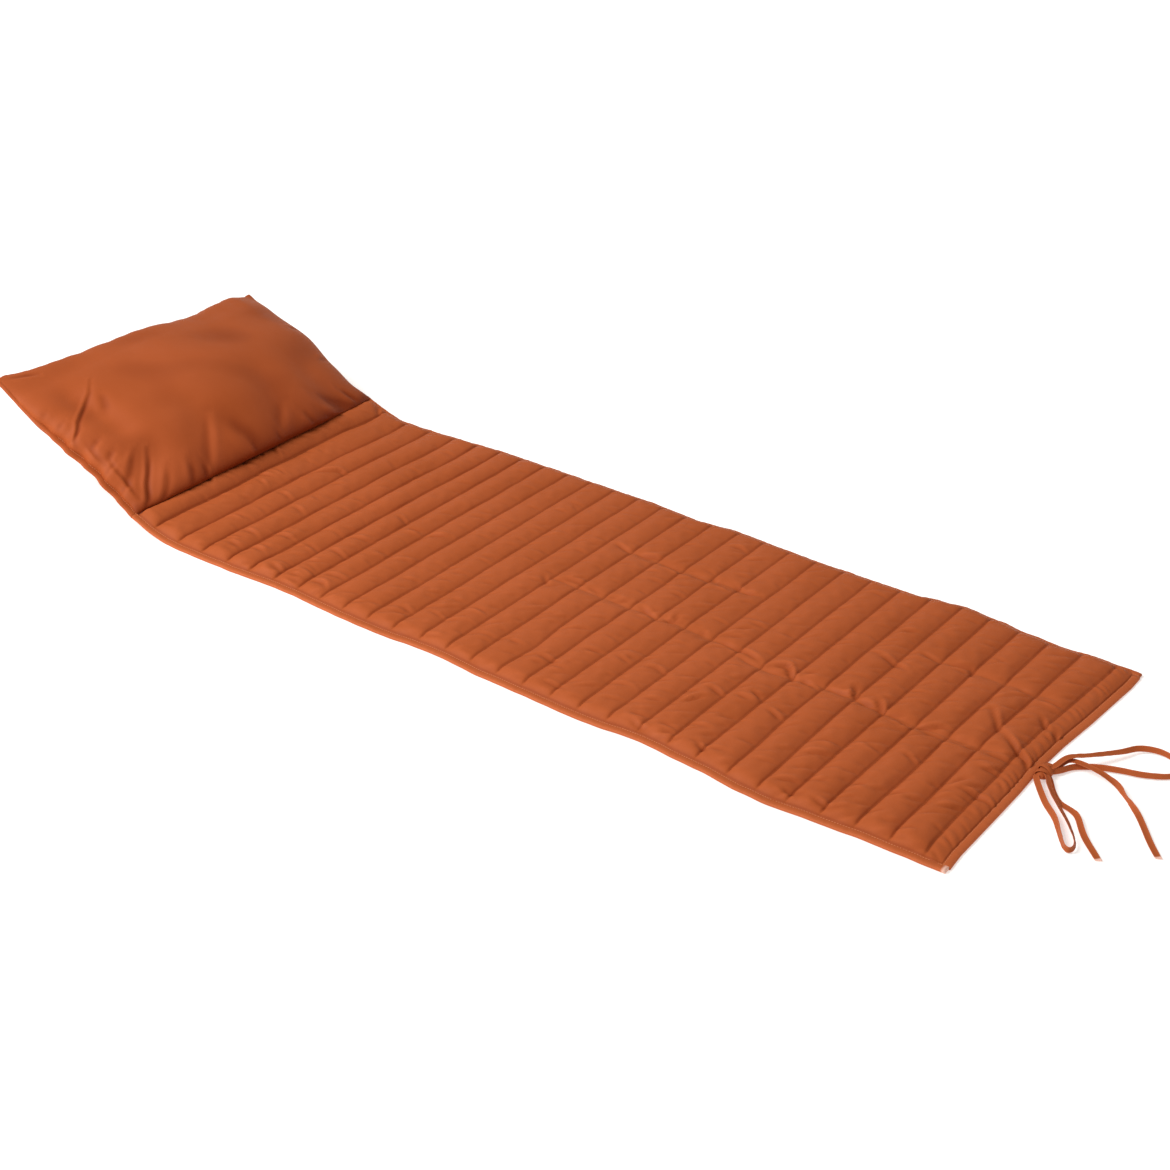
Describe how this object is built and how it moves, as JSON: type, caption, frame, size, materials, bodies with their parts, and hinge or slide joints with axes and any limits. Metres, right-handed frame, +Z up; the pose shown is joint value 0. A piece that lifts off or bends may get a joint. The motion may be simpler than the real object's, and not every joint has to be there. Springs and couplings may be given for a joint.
{
  "type": "sun lounger cushion",
  "caption": "Long quilted lounger mat with bound edges, a sewn-on raised head pillow and a ribbon tie at the foot, lying flat.",
  "frame": {"origin": "under the middle of the mat and pillow, on the floor, the free ribbon left out", "axes": "+X from the pillow to the foot, +Y to the far long side, +Z up"},
  "size_m": [2.0674, 0.6278, 0.1914],
  "materials": {
    "quilted_cloth": "smooth woven, slightly satiny",
    "pillow_cloth": "smooth woven, slightly satiny",
    "binding_cloth": "folded binding tape, topstitched",
    "ribbon_cloth": "flat woven ribbon"
  },
  "bodies": {
    "root": {"quilted_mat": "quilted_cloth", "head_pillow": "pillow_cloth", "mat_binding_near": "binding_cloth", "mat_binding_far": "binding_cloth", "mat_binding_foot": "binding_cloth", "pillow_binding_near": "binding_cloth", "pillow_binding_far": "binding_cloth", "pillow_binding_outer": "binding_cloth", "tie_knot": "ribbon_cloth", "tie_loop_long": "ribbon_cloth", "tie_loop_short": "ribbon_cloth", "tie_tail_long": "ribbon_cloth", "tie_tail_short": "ribbon_cloth"}
  },
  "joints": []
}
